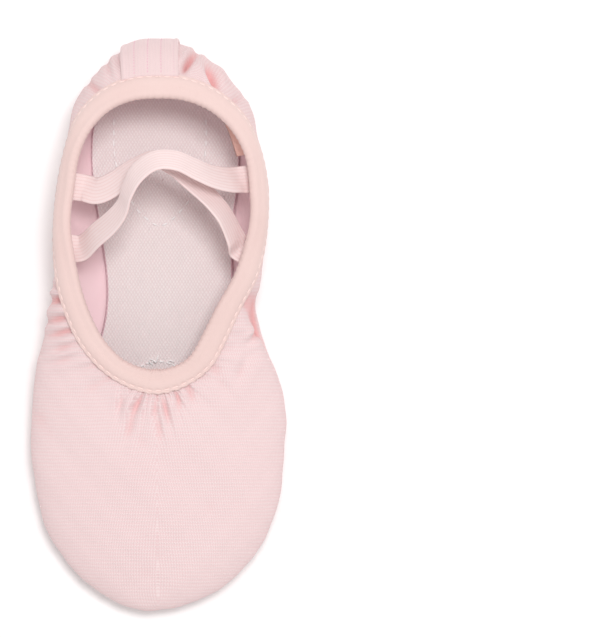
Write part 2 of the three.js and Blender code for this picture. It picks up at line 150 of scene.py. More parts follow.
def whole_loop(half, sway, flat_z=0.0):
    """A closed outline from its left half, back to front."""
    rows = np.array([p if len(p) == 3 else (*p, flat_z) for p in half], float)
    left, right = rows.copy(), rows[1:-1][::-1].copy()
    left[:, 0] = sway(rows[:, 1]) - rows[:, 0]
    right[:, 0] = sway(right[:, 1]) + right[:, 0]
    return np.vstack([left, right])


def along_loop(points, t):
    """Points of the smooth closed curve through some points, at t from 0 to 1."""
    n = len(points)
    place = np.mod(t, 1.0) * n
    i = np.floor(place).astype(int)
    w = (place - i)[..., None]
    before, here, after, beyond = (points[(i + k) % n] for k in (-1, 0, 1, 2))
    start, end = (after - before) / 2, (beyond - here) / 2
    square = 3 * (after - here) - 2 * start - end
    cube = 2 * (here - after) + start + end
    return here + w * (start + w * (square + w * cube))


SOLE_LOOP = whole_loop(SOLE, sole_sway, SOLE_EDGE_Z)
WIDE_LOOP = whole_loop(WIDE, upper_sway)
TOP_LOOP = whole_loop(TOP, upper_sway)


def bezier(a, b, c, u):
    u = u[..., None]
    return (1 - u) ** 2 * a + 2 * u * (1 - u) * b + u**2 * c


def shell(t, v):
    """The outside of the upper: t goes round it, v from the sole's edge (0) to the topline (1)."""
    t, v = np.broadcast_arrays(np.asarray(t, float), np.asarray(v, float))
    sole, wide, top = (along_loop(p, t) for p in (SOLE_LOOP, WIDE_LOOP, TOP_LOOP))
    belly = np.stack([
        sole[..., 0] + (wide[..., 0] - sole[..., 0]) * BELLY[0],
        sole[..., 1] + (wide[..., 1] - sole[..., 1]) * BELLY[0],
        sole[..., 2] + (wide[..., 2] - sole[..., 2]) * BELLY[1],
    ], -1)
    shoulder = wide.copy()
    shoulder[..., 2] += (top[..., 2] - wide[..., 2]) * SHOULDER
    below = bezier(sole, belly, wide, np.clip(v / TOP_SHARE, 0, 1))
    above = bezier(wide, shoulder, top, np.clip((v - TOP_SHARE) / (1 - TOP_SHARE), 0, 1))
    return np.where((v < TOP_SHARE)[..., None], below, above)


def unit(vectors):
    return vectors / np.linalg.norm(vectors, axis=-1, keepdims=True)


STEP = 1e-3


def normals(t, v):
    low, high = np.clip(v - STEP, 0, 1), np.clip(v + STEP, 0, 1)
    around = shell(t + STEP, v) - shell(t - STEP, v)
    up = shell(t, high) - shell(t, low)
    return unit(np.cross(around, up))


FINE = 240
TABLE_V = np.linspace(1, 0, FINE)


def v_at_drop(t, drops):
    """v for each drop in a row of drops, for every t in a column."""
    v = np.empty((len(t), drops.shape[-1]))
    for i, place in enumerate(t):
        line = shell(np.full(FINE, place), TABLE_V)
        run = np.concatenate([[0], np.cumsum(np.linalg.norm(np.diff(line, axis=0), axis=1))])
        v[i] = np.interp(drops[i] if drops.ndim == 2 else drops, run, TABLE_V)
    return v


def wall(t, drops, out):
    """Grid of points at drops below the topline (above it if negative) and out from the surface."""
    drops = np.broadcast_to(drops, (len(t), np.shape(drops)[-1]))
    v = v_at_drop(t, np.maximum(drops, 0))
    column = t[:, None]
    points = shell(column, v) + normals(column, v) * np.broadcast_to(out, drops.shape)[..., None]
    inwards = unit(shell(t, 1.0) - shell(t, 0.985))[:, None, :]
    return points + inwards * np.maximum(-drops, 0)[..., None]


def rib_lengths(t):
    line = shell(t[:, None], np.linspace(0, 1, FINE)[None, :])
    return np.linalg.norm(np.diff(line, axis=1), axis=2).sum(1)


# ---- Folds and gathers ---------------------------------------------------------------------

FOLD_DEPTH = 1.5  # the dents' depths below are multiplied by this

# Each dent: x, y of its middle, direction it runs in (degrees from +X), half length, half width,
# depth, all seen from above.
DENTS = [
    (-6.8, -27.6, 62, 4.2, 1.1, 0.9), (-0.6, -28.4, 84, 4.6, 0.9, 0.6), (2.9, -29.6, 104, 6.5, 1.0, 1.0),
    (7.4, -26.8, 100, 3.6, 1.0, 0.8), (-12.6, -27.5, 82, 5.5, 1.1, 0.45), (11.6, -24.6, 112, 3.6, 1.0, 0.4),
    (0.9, -35, 96, 7, 1.4, 0.35), (-8.9, -33, 74, 7, 1.5, 0.35),
    (11.6, 90.6, 62, 4.4, 1.2, 2.2), (19.6, 85.2, 112, 4.2, 1.5, 2.4), (26.6, 76.4, 40, 4.0, 1.3, 0.9),
    (-16.6, 88.2, 112, 5, 1.2, 0.6), (-22.4, 82.2, 136, 4.6, 1.2, 0.6), (-12.9, 90.6, 98, 4, 1.1, 0.6),
    (-35.2, 20.4, 86, 4.4, 1.7, 0.75), (-34, 8.4, 8, 3.8, 1.5, 1.9), (-33, -3.2, 12, 5.2, 1.1, 1.0),
    (-32, -8.2, 16, 5.4, 1.1, 0.9), (-34.6, 1.6, 10, 5, 1.2, 1.1), (-33.4, -12.8, 16, 5.6, 1.1, 0.6),
    # The long wide dent at 36.9, -2.2 runs down the right wall, where its depth also lays the canvas's
    # painted shade.
    (33.6, -4.8, 42, 2.8, 1.2, 1.2), (36.9, -2.2, -64, 13, 2.5, 1.7), (35.6, 6.4, -72, 4, 1.3, 0.7),
    (-33.9, 12.6, 4, 3, 1.2, 0.9), (30.2, -14.6, 66, 6, 1.8, 0.5), (22.6, -20.6, 118, 6, 1.6, 0.35),
    (38.2, 36, 90, 4, 1.6, 0.5), (38.4, 52, 96, 4, 1.6, 0.6), (36, 66, 108, 4.4, 1.6, 0.6),
    (-34.8, 50, 88, 5, 1.6, 0.5), (-32, 66, 78, 5, 1.6, 0.6),
]


# Gathers along the tape: how many go round, their height and how far down they reach, in mm.
GATHERS = [(count, height, reach, *rng.uniform(0, 2 * math.pi, 2)) for count, height, reach in (
    (61, 0.16, 5), (97, 0.13, 3.5), (38, 0.2, 9), (23, 0.24, 14),
)]
# Soft waves over the whole cloth: their size and height in mm, then their stretch and place.
WAVES = [(size, height, *rng.uniform(0.6, 1.4, 2), *rng.uniform(0, 6.3, 2)) for size, height in (
    (46, 0.3), (27, 0.24), (15, 0.12),
)]
TAPE_HOLD = 2.5  # mm under the tape's edge where the cloth stops moving


def folds(points, v, drop, t):
    """How far the cloth moves out (mm) at each point, from its gathers, dents and soft waves."""
    x, y = points[..., 0], points[..., 1]
    move = np.zeros(x.shape)
    upper_side = np.clip((v - TOP_SHARE) / 0.08 + 0.5, 0, 1)
    for px, py, degrees, half_length, half_width, depth in DENTS:
        c, s = math.cos(math.radians(degrees)), math.sin(math.radians(degrees))
        along, across = (x - px) * c + (y - py) * s, -(x - px) * s + (y - py) * c
        groove = np.exp(-((along / half_length) ** 2) - (across / half_width) ** 2)
        rims = np.exp(-((along / half_length) ** 2) - ((np.abs(across) - 2 * half_width) / half_width) ** 2)
        move += upper_side * FOLD_DEPTH * depth * (0.36 * rims - groove)
    past_tape = np.maximum(drop - TAPE_OUT, 0)
    for count, height, reach, phase, wobble in GATHERS:
        wave = np.sin(2 * math.pi * count * t + phase + 1.3 * np.sin(2 * math.pi * 7 * t + wobble))
        move += upper_side * height * wave * np.exp(-past_tape / reach)
    for size, height, a, b, p, q in WAVES:
        waves = np.sin(a * x * 6.28 / size + p) * np.sin(b * (y + 0.6 * points[..., 2]) * 6.28 / size + q)
        move += height * waves * np.clip(v / 0.15, 0, 1)
    # The cloth is pleated where it is drawn in under the toe, and a little under the heel.
    toe = np.exp(-(((t - 0.5) / 0.115) ** 4)) + 0.35 * np.exp(-((np.minimum(t, 1 - t) / 0.07) ** 4))
    pleats = np.sin(2 * math.pi * 118 * t + 0.8 * np.sin(2 * math.pi * 31 * t))
    move += toe * 0.55 * np.sign(pleats) * np.abs(pleats) ** 0.6 * np.clip(1 - v / 0.24, 0, 1)
    return move * np.clip((drop - TAPE_OUT) / TAPE_HOLD + 1, 0.12, 1)


# ---- Meshes --------------------------------------------------------------------------------


def make(name, points, faces, corner_uvs=None, smooth=True):
    """An object in metres from points in millimetres."""
    mesh = bpy.data.meshes.new(name)
    placed = (np.asarray(points, float) + (0, SHIFT_Y, 0)) * MM
    mesh.from_pydata(placed.tolist(), [], faces)
    if corner_uvs is not None:
        layer = mesh.uv_layers.new(name="cloth")
        layer.data.foreach_set("uv", np.asarray(corner_uvs, np.float32).ravel())
    mesh.validate()
    mesh.update()
    obj = bpy.data.objects.new(name, mesh)
    bpy.context.scene.collection.objects.link(obj)
    mesh.polygons.foreach_set("use_smooth", [smooth] * len(mesh.polygons))
    return obj


def signed_volume(points, faces):
    p = np.asarray(points)
    total = 0.0
    f = np.array([q for q in faces if len(q) == 4])
    for a, b, c in ((0, 1, 2), (0, 2, 3)):
        total += np.einsum("ij,ij->i", p[f[:, a]], np.cross(p[f[:, b]], p[f[:, c]])).sum()
    return total


def loft(name, rings, ring_uvs, closed):
    """A closed solid through rings: rings[i, j] for place i and point j of a closed section."""
    n, m = rings.shape[:2]
    last = n if closed else n - 1
    i, j = np.meshgrid(np.arange(last), np.arange(m), indexing="ij")
    nxt, k = (i + 1) % n, (j + 1) % m
    faces = np.stack([i * m + j, i * m + k, nxt * m + k, nxt * m + j], -1).reshape(-1, 4)
    far = i + 1
    pick = [ring_uvs[i, j], ring_uvs[i, j + 1], ring_uvs[far, j + 1], ring_uvs[far, j]]
    uvs = np.stack(pick, 2).reshape(-1, 4, 2)
    points = rings.reshape(-1, 3)
    flip = signed_volume(points, faces) < 0
    if flip:
        faces, uvs = faces[:, ::-1], uvs[:, ::-1]
    faces, uvs = faces.tolist(), uvs.reshape(-1, 2).tolist()
    if not closed:
        # An end is closed by quads between the section's two sides.
        for base, turn in ((0, not flip), ((n - 1) * m, flip)):
            for a in range(m // 2 - 1):
                quad = [a, a + 1, m - 2 - a, m - 1 - a]
                if turn:
                    quad = quad[::-1]
                faces.append([base + q for q in quad])
                uvs += [ring_uvs[0 if base == 0 else n - 1, q].tolist() for q in quad]
    return make(name, points, faces, uvs)


def section_uvs(rings, along):
    """UVs in mm for a loft: the distance along it, and the distance round each section."""
    n, m = rings.shape[:2]
    closing = np.concatenate([rings, rings[:, :1]], 1)
    across = np.cumsum(np.linalg.norm(np.diff(closing, axis=1), axis=2), axis=1)
    across = np.concatenate([np.zeros((n, 1)), across], 1)
    return np.stack([np.broadcast_to(along[:, None], across.shape), across], -1)


ROUND = 500
t_round = np.arange(ROUND) / ROUND


def run_along(points, closed=True):
    gaps = np.linalg.norm(np.diff(points, axis=0, append=points[:1]), axis=1)
    total = np.concatenate([[0], np.cumsum(gaps)])
    return total if closed else total[:-1]


# ---- Materials -----------------------------------------------------------------------------

# The last canvas colour is painted shade: a deeper pink laid into the folds and on steep walls.
CANVAS_LIGHT, CANVAS_SHADE, CANVAS_GROOVE, CANVAS_PAINTED_SHADE = "#F2E3E2", "#EEDADA", "#E2BCBE", "#E6A3A2"


def srgb(hex_colour):
    """An sRGB hex value as a linear colour."""
    channels = [int(hex_colour[i:i + 2], 16) / 255 for i in (1, 3, 5)]
    return (*[c / 12.92 if c <= 0.04045 else ((c + 0.055) / 1.055) ** 2.4 for c in channels], 1)


def material(name):
    mat = bpy.data.materials.new(name)
    mat.use_nodes = True
    mat.node_tree.nodes.clear()
    return mat


def add(mat, kind, settings=None, **inputs):
    """Adds a node. An input is named with _ for a space, or i and its number. Nodes are linked."""
    node = mat.node_tree.nodes.new("ShaderNode" + kind)
    for key, value in (settings or {}).items():
        setattr(node, key, value)
    for key, value in inputs.items():
        numbered = key[0] == "i" and key[1:].isdigit()
        socket = node.inputs[int(key[1:]) if numbered else key.replace("_", " ")]
        if isinstance(value, bpy.types.Node):
            value = value.outputs[0]
        if isinstance(value, bpy.types.NodeSocket):
            mat.node_tree.links.new(value, socket)
        else:
            socket.default_value = value
    return node


def maths(mat, operation, a, b=0.0, c=0.0):
    return add(mat, "Math", {"operation": operation}, i0=a, i1=b, i2=c)


def mix(mat, factor, a, b):
    node = add(mat, "Mix", {"data_type": "RGBA"})
    for index, value in ((0, factor), (6, a), (7, b)):
        if isinstance(value, bpy.types.Node):
            value = value.outputs[0] if value.bl_idname != "ShaderNodeMix" else value.outputs[2]
        if isinstance(value, bpy.types.NodeSocket):
            mat.node_tree.links.new(value, node.inputs[index])
        else:
            node.inputs[index].default_value = value
    return node.outputs[2]


def cloth_axes(mat):
    """The two cloth coordinates in millimetres."""
    uv = add(mat, "UVMap", {"uv_map": "cloth"})
    split = add(mat, "SeparateXYZ", i0=uv)
    return split.outputs[0], split.outputs[1]


def ridge(mat, coordinate, pitch, phase=0.0):
    """Round ridges with that pitch in mm, from 0 to 1."""
    turn = maths(mat, "MULTIPLY_ADD", coordinate, 2 * math.pi / pitch, phase)
    return maths(mat, "MULTIPLY_ADD", maths(mat, "COSINE", turn), 0.5, 0.5)


def noise(mat, per_mm, detail=2.0):
    """Noise from object coordinates; per_mm is how many bumps fit in a millimetre."""
    place = add(mat, "TexCoord").outputs["Object"]
    return add(mat, "TexNoise", Vector=place, Scale=per_mm / MM, Detail=detail, Roughness=0.55)


def finish(mat, colour, height, depth_mm, roughness, specular, sheen=0.0, sheen_roughness=0.5):
    """Closes a material: base colour, bump of that depth and constants of the shader."""
    shader = add(
        mat, "BsdfPrincipled", Base_Color=colour, Roughness=roughness, Specular_IOR_Level=specular,
        Sheen_Weight=sheen, Sheen_Roughness=sheen_roughness,
    )
    if height is not None:
        relief = add(mat, "Bump", Strength=1.0, Distance=depth_mm * MM, Height=height)
        mat.node_tree.links.new(relief.outputs[0], shader.inputs["Normal"])
    out = add(mat, "OutputMaterial")
    mat.node_tree.links.new(shader.outputs[0], out.inputs[0])
    return mat


WARP_PITCH = 0.95  # coarser than the canvas's real warp, so that it shows


def canvas_material(name, pitch, contrast, least):
    # Cotton canvas with thick weft ribs: matt, a deeper pink between the ribs, and painted shade that deepens
    # the pink in the folds and on steep walls.
    mat = material(name)
    along, across = cloth_axes(mat)
    # The weft isn't dead straight: it wanders by a fraction of a rib.
    wander = maths(mat, "MULTIPLY_ADD", noise(mat, 0.03, 2), 2.2, across)
    rib = maths(mat, "MULTIPLY_ADD", ridge(mat, wander, pitch), 0.62, 0.38)
    row = maths(mat, "FLOOR", maths(mat, "DIVIDE", wander, pitch))
    shifted = maths(mat, "MULTIPLY_ADD", row, 0.36, along)
    thread = ridge(mat, shifted, WARP_PITCH)
    height = maths(mat, "MULTIPLY", rib, maths(mat, "MULTIPLY_ADD", thread, 0.72, 0.28))
    blotch = noise(mat, 0.035, 3)
    fuzz = noise(mat, 1.6, 2)
    base = mix(mat, blotch, srgb(CANVAS_SHADE), srgb(CANVAS_LIGHT))
    crest = mix(mat, maths(mat, "MULTIPLY", fuzz, 0.3), base, srgb("#F8E8E6"))
    share = maths(mat, "MULTIPLY_ADD", height, contrast, least)
    groove = mix(mat, share, srgb(CANVAS_GROOVE), crest)
    # Painted shade: the cloth's mask of folds and steep walls deepens the pink here.
    painted_shade = add(mat, "Attribute", {"attribute_name": "painted_shade"}).outputs["Fac"]
    groove = mix(mat, painted_shade, groove, srgb(CANVAS_PAINTED_SHADE))
    relief = maths(mat, "MULTIPLY_ADD", fuzz, 0.35, height)
    return finish(mat, groove, relief, 0.12, 0.92, specular=0.2, sheen=0.15)


def tape_material(name, shade, light):
    # Brushed cotton knit: very fine, soft and slightly peach, with almost no gloss.
    mat = material(name)
    along, across = cloth_axes(mat)
    wale = ridge(mat, across, 0.62)
    course = ridge(mat, along, 0.5)
    knit = maths(mat, "MULTIPLY", wale, course)
    soft = noise(mat, 0.05, 3)
    fuzz = noise(mat, 3.0, 2)
    base = mix(mat, soft, srgb(shade), srgb(light))
    colour = mix(mat, maths(mat, "MULTIPLY", fuzz, 0.25), base, srgb(light))
    relief = maths(mat, "MULTIPLY_ADD", fuzz, 0.7, knit)
    return finish(mat, colour, relief, 0.06, 0.95, specular=0.15, sheen=0.35, sheen_roughness=0.45)


def lining_material():
    # Thin polyester lining: smooth and a little glossier than the canvas, mauve pink.
    mat = material("polyester_lining")
    soft = noise(mat, 0.06, 3)
    grain = noise(mat, 4.0, 1)
    base = mix(mat, soft, srgb("#F9D6DC"), srgb("#FCE1E5"))
    colour = mix(mat, maths(mat, "MULTIPLY", grain, 0.2), base, srgb("#FDE9EC"))
    return finish(mat, colour, grain, 0.05, 0.62, specular=0.35, sheen=0.15, sheen_roughness=0.4)


def webbing_material():
    # Covered elastic: lengthwise cords with a fine slanted cover yarn across each.
    mat = material("woven_elastic_webbing")
    along, across = cloth_axes(mat)
    slant = ridge(mat, maths(mat, "MULTIPLY_ADD", across, 0.7, along), 0.55)
    between = ridge(mat, across, STRAP_WIDTH / CORDS)
    soft = noise(mat, 0.07, 2)
    base = mix(mat, soft, srgb("#F3DAD9"), srgb("#F5E3E2"))
    yarn = mix(mat, maths(mat, "MULTIPLY", slant, 0.4), base, srgb("#F8EAE9"))
    colour = mix(mat, maths(mat, "POWER", between, 4.0), yarn, srgb("#F0D6D4"))
    return finish(mat, colour, slant, 0.05, 0.8, specular=0.25, sheen=0.2, sheen_roughness=0.45)


def waffle_material(name, between, shade, light):
    # Cotton mesh with small raised cells: greyish white, warmer between the cells.
    mat = material(name)
    along, across = cloth_axes(mat)
    pitch = 1.15
    uneven = maths(mat, "MULTIPLY_ADD", noise(mat, 0.25, 2), 1.2, along)
    diagonal_a = maths(mat, "MULTIPLY_ADD", across, 0.62, uneven)
    diagonal_b = maths(mat, "MULTIPLY_ADD", across, -0.62, uneven)
    cell = maths(mat, "MULTIPLY", ridge(mat, diagonal_a, pitch), ridge(mat, diagonal_b, pitch))
    uneven_height = maths(mat, "MULTIPLY_ADD", noise(mat, 0.9, 3), 1.2, 0.4)
    cell = maths(mat, "MULTIPLY", maths(mat, "POWER", cell, 0.5), uneven_height)
    fuzz = noise(mat, 1.8, 2)
    soft = noise(mat, 0.05, 3)
    base = mix(mat, soft, srgb(shade), srgb(light))
    colour = mix(mat, maths(mat, "MULTIPLY_ADD", cell, 0.75, 0.25), srgb(between), base)
    relief = maths(mat, "MULTIPLY_ADD", fuzz, 0.6, cell)
    return finish(mat, colour, relief, 0.1, 0.93, specular=0.2, sheen=0.2)


def suede_material():
    # Split leather with a raised nap: matt, patchy where the nap lies in different directions.
    mat = material("split_suede_napped")
    nap = noise(mat, 0.16, 4)
    fibre = noise(mat, 2.6, 3)
    base = mix(mat, nap, srgb("#C39384"), srgb("#DDB5A6"))
    colour = mix(mat, maths(mat, "MULTIPLY", fibre, 0.5), base, srgb("#E7C6B8"))
    return finish(mat, colour, fibre, 0.2, 0.97, specular=0.1, sheen=0.5, sheen_roughness=0.6)


def foam_material():
    # Open-cell polyurethane foam: off-white with tiny pores.
    mat = material("polyurethane_foam")
    place = add(mat, "TexCoord")
    pores = add(mat, "TexVoronoi", Vector=place.outputs["Object"], Scale=1400.0)
    colour = mix(mat, pores.outputs[0], srgb("#E5D9C6"), srgb("#F5EEE1"))
    return finish(mat, colour, pores.outputs[0], 0.15, 0.95, specular=0.2)


def thread_material(name, dark, light, roughness):
    # Spun polyester sewing thread: twisted, with a slight gloss.
    mat = material(name)
    twist = noise(mat, 3.5, 1)
    return finish(mat, mix(mat, twist, srgb(dark), srgb(light)), twist, 0.05, roughness, specular=0.4)


def elastic_material():
    # Braided elastic cord: off-white yarn over rubber.
    mat = material("braided_elastic_cord")
    along, across = cloth_axes(mat)
    braid = ridge(mat, maths(mat, "MULTIPLY_ADD", across, 1.0, along), 0.9)
    colour = mix(mat, braid, srgb("#DCD3C8"), srgb("#F5F0E8"))
    return finish(mat, colour, braid, 0.08, 0.7, specular=0.3)


canvas = canvas_material("cotton_canvas_ribbed", 1.23, 0.78, 0.22)
strip_canvas = canvas_material("cotton_canvas_fine_rib", 1.0, 0.18, 0.48)
tape = tape_material("cotton_knit_tape", "#E6C8C3", "#EDD3CE")
# Painted shade: the loose tape end is given a deeper peach than the binding's tape.
tape_end_painted_shade = tape_material("cotton_knit_tape_end_painted_shade", "#EDB9AC", "#F2C6BA")
lining = lining_material()
webbing = webbing_material()
waffle = waffle_material("cotton_waffle_cloth", "#E6D7D7", "#F1E9E8", "#F7F2F1")
# The mauve rim cloth is partly the cut yarns' own colour and partly painted shade along the insole's step
# onto the lining.
waffle_edge_and_shade = waffle_material("cotton_waffle_cut_edge_and_shade", "#CFA9B2", "#DDBDC4", "#E8D0D5")
suede = suede_material()
foam = foam_material()
elastic = elastic_material()
white_thread = thread_material("thread_white", "#FAF8F7", "#FFFFFF", 0.45)
pink_thread = thread_material("thread_rose", "#E3B0C0", "#EEC6D2", 0.5)
pale_thread = thread_material("thread_pale_pink", "#F6D8D2", "#FDE9E5", 0.55)


def dress(obj, mat, slot, *nodes):
    obj.data.materials.clear()
    obj.data.materials.append(mat)
    if nodes:
        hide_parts(*nodes)
    return obj


def over_arch(obj):
    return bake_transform(obj)


# ---- Upper and lining ----------------------------------------------------------------------

ROWS = 96
STEEP_PAINTED_SHADE = 0.15  # how much painted shade deepens the pink on a steep wall
HEEL_TURN_Y = 40  # behind this, ribs are counted along the wall and not along the slipper


def cloth_uvs(points):
    """UVs in mm: the first runs along a rib, the second across the ribs."""
    n = len(points)
    ribs = points[..., 1].copy()
    length = np.linalg.norm(np.diff(points, axis=0, append=points[:1]), axis=2)
    for j in range(points.shape[1]):
        turning = points[:, j, 1] > HEEL_TURN_Y
        left_end = int(np.argmin(turning))
        for i in range(left_end - 1, -1, -1):
            ribs[i, j] = ribs[i + 1, j] + length[i, j]
        right_start = n - int(np.argmin(turning[::-1]))
        for i in range(right_start, n):
            ribs[i, j] = ribs[i - 1, j] + length[i - 1, j]
    down = np.abs(points[..., 0]) - points[..., 2]
    closing = np.concatenate([ribs, (ribs[-1] + length[-1])[None]])
    return np.stack([np.concatenate([down, down[:1]]), closing], -1)


def cloth_layer(name, outside, thickness, lowest_v):
    lengths = rib_lengths(t_round)
    shares = np.linspace(0, 1, ROWS)
    drops = shares[None, :] * (lengths * (1 - lowest_v))[:, None]
    v = v_at_drop(t_round, drops)
    column = t_round[:, None]
    base, out = shell(column, v), normals(column, v)
    move = folds(base, v, drops, column)
    # Painted shade: a mask of how far the folds push the cloth in and how steep the wall is, stored on the
    # cloth as an attribute that deepens the canvas's pink.
    steep = np.clip(1 - out[..., 2], 0, 1) ** 2 * np.clip(v / TOP_SHARE, 0, 1)
    painted_shade = np.clip(np.clip(-move - 0.35, 0, 2) * 0.45 + STEEP_PAINTED_SHADE * steep, 0, 0.8)
    outer = base + out * (outside + move)[..., None]
    inner = base + out * (outside - thickness + move)[..., None]
    rings = np.concatenate([outer, inner[:, ::-1]], 1)
    flat = cloth_uvs(outer)
    both = np.concatenate([flat, flat[:, ::-1], flat[:, :1]], 1)
    obj = loft(name, rings, both, True)
    depth = obj.data.attributes.new("painted_shade", "FLOAT", "POINT")
    depth.data.foreach_set("value", np.concatenate([painted_shade, painted_shade[:, ::-1]], 1).ravel())
    return obj


upper = dress(
    cloth_layer("upper_cloth", 0.0, CANVAS, 0.0), canvas, "canvas",
    "upper_front", "upper_waist_left", "upper_waist_right", "upper_quarter_left", "upper_quarter_right",
)
over_arch(upper)
inner_cloth = dress(
    cloth_layer("lining_cloth", -CANVAS - LAYER_GAP, LINING, 0.02), lining, "lining",
    "lining_front", "lining_waist_left", "lining_waist_right", "lining_heel",
)
over_arch(inner_cloth)

# ---- Binding -------------------------------------------------------------------------------

MIDDLE = -(CANVAS + LAYER_GAP + LINING) / 2
TAPE_REACH = -MIDDLE + 0.35  # from the middle of the layers to the tape's inner face
CHANNEL_DROP = -(ELASTIC_R + LAYER_GAP)
STITCH_DROP = TAPE_OUT - 1.2
SCALLOP = 3.1  # mm from stitch to stitch


def round_line(drop, out):
    """The line round the slipper at one drop and one distance out, each a number or one for each t."""
    drops = np.broadcast_to(np.asarray(drop).reshape(-1, 1), (ROUND, 1))
    return wall(t_round, drops, np.asarray(out).reshape(-1, 1))[:, 0]


def binding_sections():
    run = run_along(wall(t_round, np.array([STITCH_DROP]), 0.5)[:, 0])[:-1]
    stitch = np.cos(2 * math.pi * run / SCALLOP)
    sections = []
    for side, radius in ((1, TAPE_REACH + TAPE), (0, TAPE_REACH)):
        pairs = []
        for drop in np.linspace(TAPE_OUT, 0, 15):
            edge = 0.45 * TAPE * np.clip(1 - (TAPE_OUT - drop) / 0.5, 0, 1) ** 2
            puff = 0.55 * math.sin(math.pi * np.clip((STITCH_DROP - drop) / STITCH_DROP, 0, 1)) ** 0.8
            groove = 0.42 * np.exp(-(((drop - STITCH_DROP) / 0.55) ** 2))
            lip = 0.12 * np.exp(-(((drop - TAPE_OUT + 0.6) / 0.6) ** 2))
            relief = puff - groove * (0.65 + 0.35 * stitch) + lip * (1 - stitch)
            move = relief * side - edge * (2 * side - 1)
            scallop = 0.14 * stitch * np.clip((drop - STITCH_DROP) / 1.2, 0, 1)
            pairs.append((drop + scallop, MIDDLE + radius + move))
        ruck = 0.16 * np.sin(2 * math.pi * run / 2.3 + 2 * np.sin(run / 17))
        for degrees in np.linspace(12, 168, 12):
            a = math.radians(degrees)
            reach = radius + side * ruck * math.sin(a)
            pairs.append((CHANNEL_DROP - reach * math.sin(a), MIDDLE + reach * math.cos(a)))
        for drop in np.linspace(0, TAPE_IN, 9):
            edge = 0.45 * TAPE * np.clip(1 - (TAPE_IN - drop) / 0.5, 0, 1) ** 2
            pairs.append((drop, MIDDLE - radius + edge * (2 * side - 1)))
        sections.append(np.stack([round_line(drop, out) for drop, out in pairs], 1))
    return np.concatenate([sections[0], sections[1][:, ::-1]], 1), run


rings, run = binding_sections()
uvs = section_uvs(np.concatenate([rings, rings[:1]]), np.append(run, run[-1] + 0.7))
binding = loft("binding_tape", rings, uvs, True)
dress(binding, tape, "tape", "binding_front", "binding_waist_left", "binding_waist_right", "binding_heel")
over_arch(binding)


def tube(centres, radius, sides, closed=True):
    """Rings of a round tube along some points."""
    ahead = unit(np.roll(centres, -1, 0) - np.roll(centres, 1, 0) if closed else np.gradient(centres, axis=0))
    side = unit(np.cross(ahead, np.array([0, 0, 1.0])))
    up = np.cross(side, ahead)
    a = np.linspace(0, 2 * math.pi, sides, endpoint=False)[None, :, None]
    return centres[:, None] + radius * (side[:, None] * np.cos(a) + up[:, None] * np.sin(a))


channel = wall(t_round, np.array([CHANNEL_DROP]), MIDDLE)[:, 0]
rings = tube(channel, ELASTIC_R * 0.95, 10)
uvs = section_uvs(np.concatenate([rings, rings[:1]]), run_along(channel))
over_arch(dress(loft("elastic_cord", rings, uvs, True), elastic, "elastic", "binding_elastic"))

# ---- Strip over the back seam --------------------------------------------------------------

STRIP_FROM, STRIP_TO = -0.77, 1.33  # stations of its two sides
STRIP_ROWS = (-0.83, -0.38, 0.10, 0.56)  # its stitch rows, from one side (-1) to the other (1)
STRIP_IN, STRIP_OUT = 0.45, 1.25  # its two faces, out from the canvas
STRIP_HALF_WIDTH = 9.8


def patch_rings(t, section_drops, outside, inside):
    """Sections across a patch: its outside at each drop, and back along its inside."""
    outer = wall(t, section_drops, outside)
    inner = wall(t, section_drops, inside)
    return np.concatenate([outer, inner[:, ::-1]], 1)


def strip():
    t = np.linspace(STRIP_FROM, STRIP_TO, 61) / STATIONS
    drops = np.linspace(TAPE_OUT - 1, 46, 70)
    place = np.linspace(-1, 1, len(t))[:, None]
    fold = 0.35 * np.exp(-(((np.abs(place) - 0.9) / 0.07) ** 2))
    rows = 0.12 * sum(np.exp(-(((place - c) / 0.05) ** 2)) for c in STRIP_ROWS)
    out = STRIP_OUT + fold - rows - 0.5 * np.clip((np.abs(place) - 0.97) / 0.03, 0, 1)
    rings = patch_rings(t, drops, np.broadcast_to(out, (len(t), len(drops))), STRIP_IN)
    flat = np.stack(np.broadcast_arrays(-drops[None, :], place * STRIP_HALF_WIDTH), -1)
    uvs = np.concatenate([flat, flat[:, ::-1], flat[:, :1]], 1)
    return loft("back_seam_strip", rings, uvs, False)


seam_strip = dress(strip(), strip_canvas, "canvas", "heel_strip")
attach(seam_strip, "heel")

# ---- Sole ----------------------------------------------------------------------------------


def smooth_outline(half, count=260):
    loop = whole_loop(half, sole_sway)
    return along_loop(loop, np.arange(count) / count)[:, :2]


LIP_WIDTH = 0.9  # of the raised rim that a cut edge has
GROOVE_DEPTH = 0.25  # of the line that a pad's stitches are pulled into
SEAM_INSET = 2.2  # from a pad's edge to its stitches


def inset_outline(outline, inset, edge):
    """The outline moved towards its middle line: by inset at the edge, and in proportion past it."""
    middle = outline.mean(0)
    spine = middle + (outline - middle) * (0.0, 0.55)
    inwards = spine - outline
    depth = np.linalg.norm(inwards, axis=1, keepdims=True)
    if inset <= edge:
        return outline + inwards / depth * inset
    return outline + inwards * min(inset / depth.min(), 1.0)


